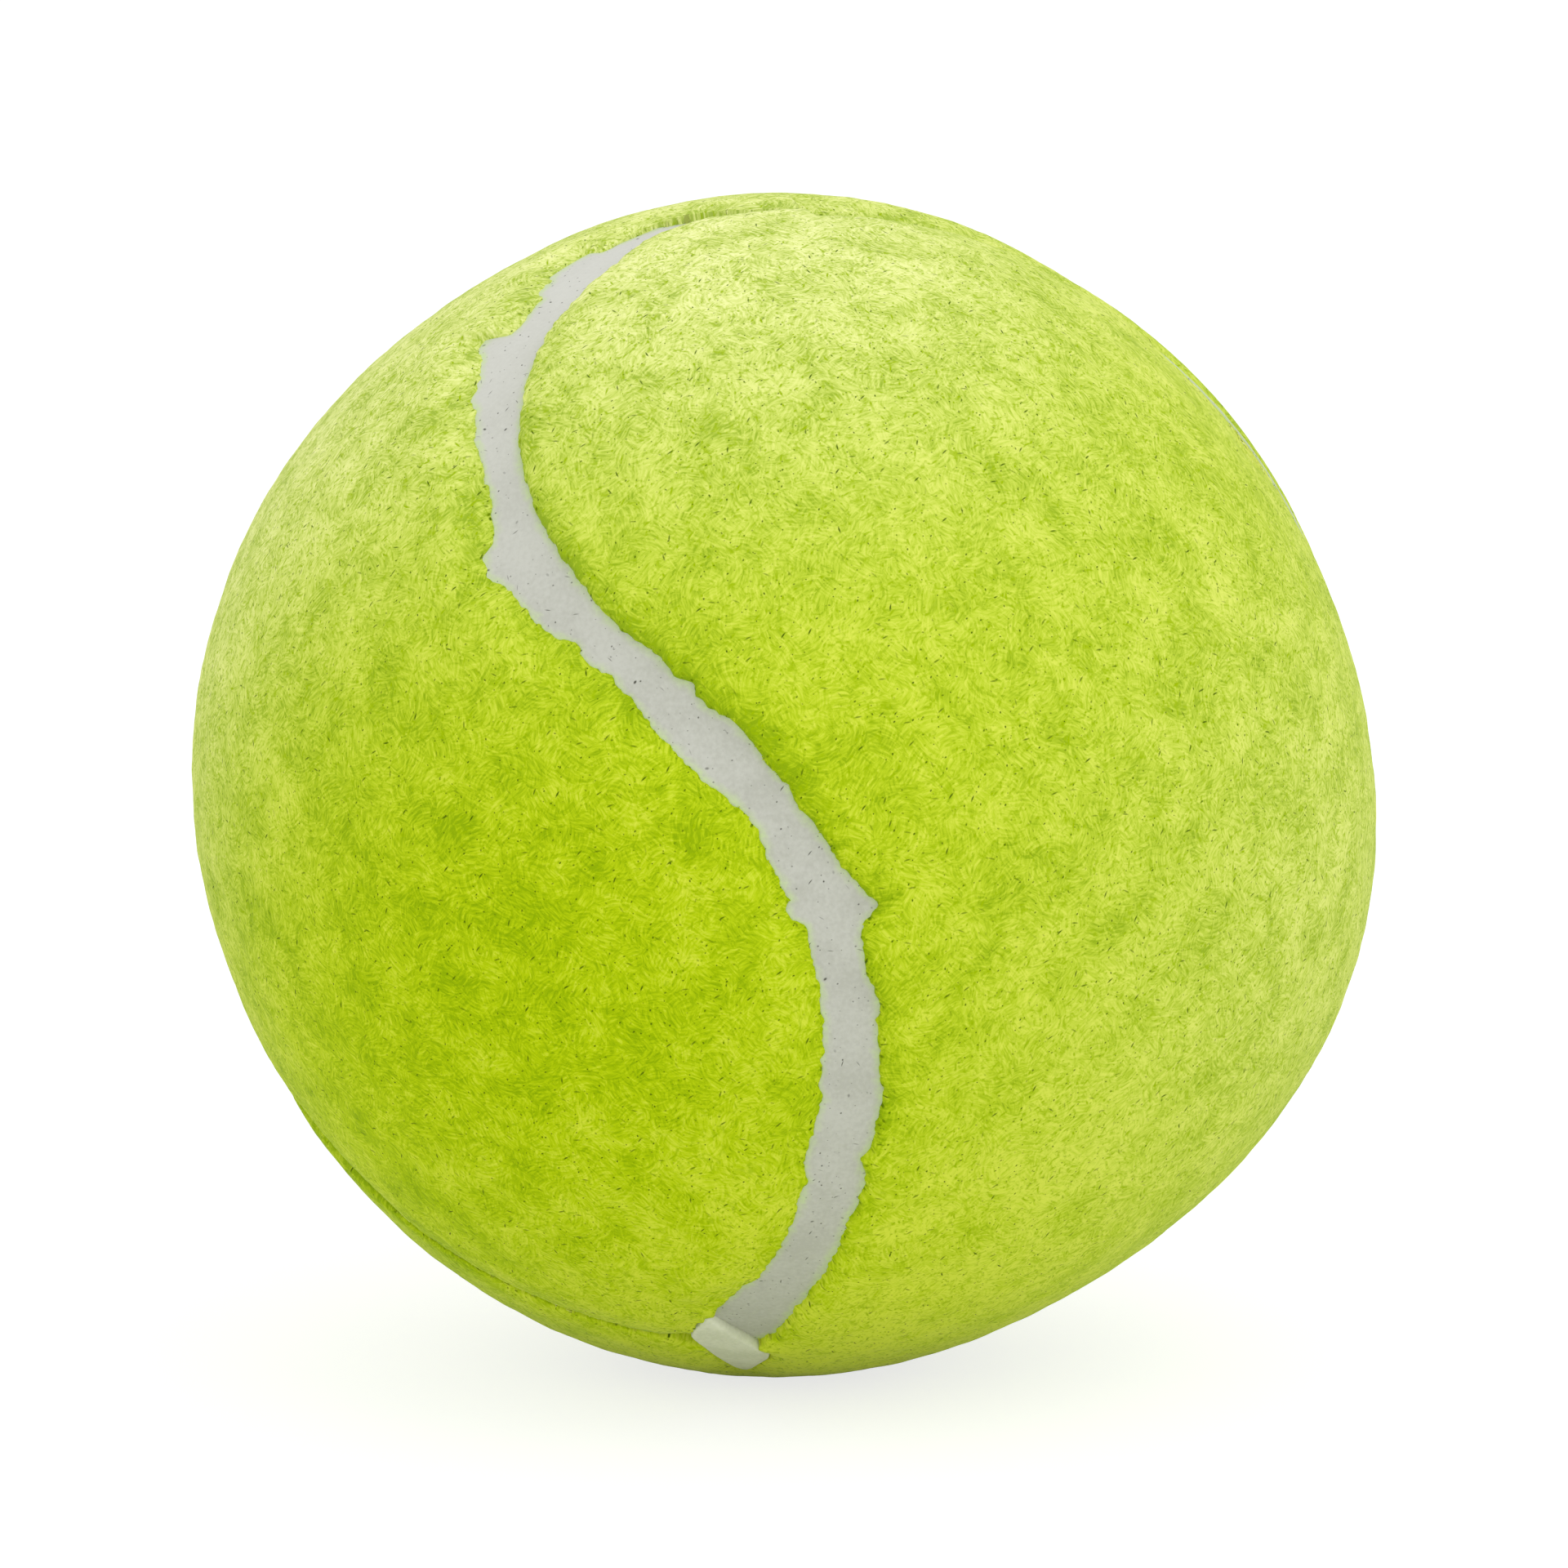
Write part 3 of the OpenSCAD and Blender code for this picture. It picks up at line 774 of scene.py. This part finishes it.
def seamLap():
    bm = bmesh.new()
    corners = np.array(lapShape["corners"]) * mm
    length, width = (np.linalg.norm(corners[i, :2] - corners[i - 1, :2]) for i in (1, 2))
    thick = lapR - seamR
    bmesh.ops.create_cube(bm, size=1)
    bmesh.ops.scale(bm, vec=(length, width, thick), verts=bm.verts)
    uprights = [e for e in bm.edges if abs(e.verts[0].co.z - e.verts[1].co.z) > thick / 2]
    bmesh.ops.bevel(bm, geom=uprights, offset=lapShape["corner"], segments=lapShape["cornerCuts"],
                    profile=0.5, affect="EDGES", material=-1)
    upper = [e for e in bm.edges if min(v.co.z for v in e.verts) > 0]
    bmesh.ops.bevel(bm, geom=upper, offset=lapShape["round"], segments=lapShape["roundCuts"],
                    profile=0.5, affect="EDGES", material=-1)
    for axis, size in ((Vector((1, 0, 0)), length), (Vector((0, 1, 0)), width)):
        for k in range(1, lapShape["cuts"]):
            at = axis * size * (k / lapShape["cuts"] - 0.5)
            whole = bm.verts[:] + bm.edges[:] + bm.faces[:]
            bmesh.ops.bisect_plane(bm, geom=whole, plane_co=at, plane_no=axis)
    points = coordsOf(bm.verts)
    height, size, seed = lapShape["sag"]
    sag = height * noiseOver(points, size, seed)
    height, size, seed = lapShape["wobble"]
    wobble = height * noiseOver(points * [1, 1, 0], size, seed)
    axes = lapAxes()
    under = seamR - lapShape["foot"]
    for v, dip, out in zip(bm.verts, sag, wobble):
        swell = 1 + out / lapShape["wobbleReach"]
        x, y = v.co.x / length * swell + 0.5, v.co.y / width * swell + 0.5
        near, far = corners[0] * (1 - x) + corners[1] * x, corners[3] * (1 - x) + corners[2] * x
        place = near * (1 - y) + far * y
        share = v.co.z / thick + 0.5  # 0 on its underside, 1 on its face
        spot = axes @ Vector((place[0], place[1], seamR))
        v.co = spot.normalized() * (under + (place[2] - under) * share + (dip if v.co.z > 0 else 0))
    bmesh.ops.triangulate(bm, faces=bm.faces)
    bmesh.ops.recalc_face_normals(bm, faces=bm.faces)
    print("lap", len(bm.faces), "faces,", len(rimOf(bm)), "open edges")
    meshPiece("seam_lap_tab", bm, lapMat, ["seam_lap"])


seamLap()


# Fibres in the felt

strandShape = {  # curled bundles of fibres
    "seed": 5,
    "kinds": 40,
    "sides": 3,
    "wide": (0.09 * mm, 0.14 * mm),
    "length": (0.5 * mm, 2.1 * mm),
    "curl": (0.8 * mm, 3.5 * mm),  # bend radius
    "rise": 0.05,  # how far a curl climbs, as a slope
    "flat": 0.45,  # height as a share of the width
    "steps": 5,  # rings along a fibre
    "lift": (-0.004 * mm, 0.01 * mm),
    "clear": 0.1 * mm,  # kept free along the cut edge
    "tuck": 0.2 * mm,  # an end past the cut edge goes this far below the seam rubber's face
    "tries": 4,  # places drawn for each fibre of a panel, before those off the panel are dropped
    "perPanel": 20000,
    "perPiece": 5000,
}


def strandKind(draw):  # one curled fibre that lies along X, with its crest up
    bm = bmesh.new()
    length = draw.uniform(*strandShape["length"])
    upright = Matrix.Rotation(math.pi / 2, 4, "X") @ Matrix.Rotation(math.pi / 2, 4, "Y")
    bmesh.ops.create_circle(bm, segments=strandShape["sides"], radius=draw.uniform(*strandShape["wide"]) / 2,
                            matrix=upright)
    bmesh.ops.scale(bm, vec=(1, 1, strandShape["flat"]), verts=bm.verts)
    bend = draw.choice((-1, 1)) * draw.uniform(*strandShape["curl"])
    rise = strandShape["rise"]
    tilt = Vector((draw.uniform(-rise, rise), draw.uniform(-rise, rise), math.copysign(1, bend)))
    bmesh.ops.spin(bm, geom=bm.verts[:] + bm.edges[:], cent=(0, bend, 0), axis=tilt.normalized(),
                   angle=length / abs(bend), steps=strandShape["steps"], use_merge=False)
    bmesh.ops.holes_fill(bm, edges=rimOf(bm), sides=strandShape["sides"])
    bmesh.ops.recalc_face_normals(bm, faces=bm.faces)
    triangulated(bm)
    middle = sum((v.co for v in bm.verts), Vector()) / len(bm.verts)
    bmesh.ops.translate(bm, vec=-middle, verts=bm.verts)
    mesh = bpy.data.meshes.new("strand")
    bm.to_mesh(mesh)
    bm.free()
    return mesh, np.array([tuple(v.co) + (1,) for v in mesh.vertices])


def layOn(bm, kind, spot, turn):  # adds one copy of a kind, turned and laid level on the ball
    facing = spot.to_track_quat("Z", "Y").to_matrix().to_4x4()
    toBall = Matrix.Translation(spot) @ facing @ Matrix.Rotation(turn, 4, "Z")
    mesh, flat = kind
    mesh.vertices.foreach_set("co", (flat @ np.array(toBall.transposed()))[:, :3].ravel())
    bm.from_mesh(mesh)


def layStrands(name, side, draw, kinds):
    perPanel, perPiece = strandShape["perPanel"], strandShape["perPiece"]
    spots = np.array([[draw.gauss(0, 1) for k in range(3)] for n in range(strandShape["tries"] * perPanel)])
    spots = ballR * unitOf(spots)
    spots = spots[edgeField(spots, side) > strandShape["clear"]]
    for made in range(perPanel // perPiece):
        bm = bmesh.new()
        heights = []
        for spot in spots[made * perPiece:(made + 1) * perPiece]:
            kind = draw.choice(kinds)
            layOn(bm, kind, Vector(spot), draw.uniform(0, 2 * math.pi))
            heights.extend(kind[1][:, 2] + draw.uniform(*strandShape["lift"]))
        points = coordsOf(bm.verts)
        radii = ballR - fallDepth(points) + heights  # level with the foot of the fall, so the mat hides them
        radii[edgeField(points, side) < 0] = seamR - strandShape["tuck"]
        setHeights(bm, radii)
        print(name, made + 1, "fibre piece,", len(bm.faces), "faces")
        piece = meshPiece(f"{name}_fibres_{made + 1}", bm, fibreMat, smooth=False)
        markTone(piece.data, side)


draw = random.Random(strandShape["seed"])
kinds = [strandKind(draw) for k in range(strandShape["kinds"])]
for name, side in (("right_panel", 1), ("left_panel", -1)):
    layStrands(name, side, draw, kinds)


# Floor, light and camera

white = (1, 1, 1, 1)
stage = {
    "floor": 4.0,  # its side in metres
    "floorColour": "#F0F0EE",
    "shaded": (0.35, 0.35, 0.35, 1),  # the part of the floor that the camera sees lit and in shadow
    "glow": 0.75,  # and the part that brings it up to white
    "world": 0.95,
}


def paleFloor():
    material, tree = newMaterial("pale_floor")
    ray = addNode(tree, "LightPath")
    matt = addNode(tree, "BsdfDiffuse", {"Color": linearOf(stage["floorColour"])})
    shaded = addNode(tree, "BsdfDiffuse", {"Color": stage["shaded"]})
    glow = addNode(tree, "Emission", {"Color": white, "Strength": stage["glow"]})
    seen = addNode(tree, "AddShader", {0: shaded.outputs[0], 1: glow.outputs[0]})
    both = addNode(tree, "MixShader", {
        0: ray.outputs["Is Camera Ray"], 1: matt.outputs[0], 2: seen.outputs[0]})
    addNode(tree, "OutputMaterial", {"Surface": both.outputs[0]})
    bm = bmesh.new()
    bmesh.ops.create_grid(bm, x_segments=1, y_segments=1, size=stage["floor"] / 2,
                          matrix=Matrix.Translation((0, 0, -ballR)))
    floor = meshObject("floor", bm, material)


lampPlan = {  # place and size in metres, watts
    "overhead": {"at": (0.35, -0.3, 0.85), "size": 0.8, "power": 1.5},
    "front": {"at": (0.1, -0.9, 0.22), "size": 0.5, "power": 0.6},
}


def addLamp(name, at, size, power):
    lamp = bpy.data.lights.new(name, "AREA")
    lamp.size, lamp.energy = size, power
    holder = bpy.data.objects.new(name, lamp)
    holder.location = at
    holder.rotation_euler = (-Vector(at)).to_track_quat("-Z", "Y").to_euler()
    bpy.context.scene.collection.objects.link(holder)


def softWorld(strength):
    world = bpy.data.worlds.new("studio")
    bpy.context.scene.world = world
    world.use_nodes = True
    tree = world.node_tree
    tree.nodes.clear()
    ray = addNode(tree, "LightPath")
    seen = addNode(tree, "Background", {"Color": white, "Strength": 1.0})
    lit = addNode(tree, "Background", {"Color": white, "Strength": strength})
    both = addNode(tree, "MixShader", {
        0: ray.outputs["Is Camera Ray"], 1: lit.outputs[0], 2: seen.outputs[0]})
    addNode(tree, "OutputWorld", {"Surface": both.outputs[0]})


def addCamera():
    camera = bpy.data.cameras.new("camera")
    holder = bpy.data.objects.new("camera", camera)
    bpy.context.scene.collection.objects.link(holder)
    bpy.context.scene.camera = holder
    up = math.radians(photo["elevation"])
    back = Vector((0, -math.cos(up), math.sin(up)))
    holder.location = back * ballR * photo["radiiAway"]
    holder.rotation_euler = (-back).to_track_quat("-Z", "Y").to_euler()
    focal = photo["ball"] * math.sqrt(photo["radiiAway"] ** 2 - 1)  # px
    camera.lens = camera.sensor_width * focal / photo["side"]
    camera.shift_x = (photo["side"] / 2 - photo["centre"][0]) / photo["side"]
    camera.shift_y = (photo["centre"][1] - photo["side"] / 2) / photo["side"]


paleFloor()
softWorld(stage["world"])
for name, plan in lampPlan.items():
    addLamp(name, **plan)
addCamera()
bpy.context.scene.view_settings.view_transform = "Standard"
print("stage set")
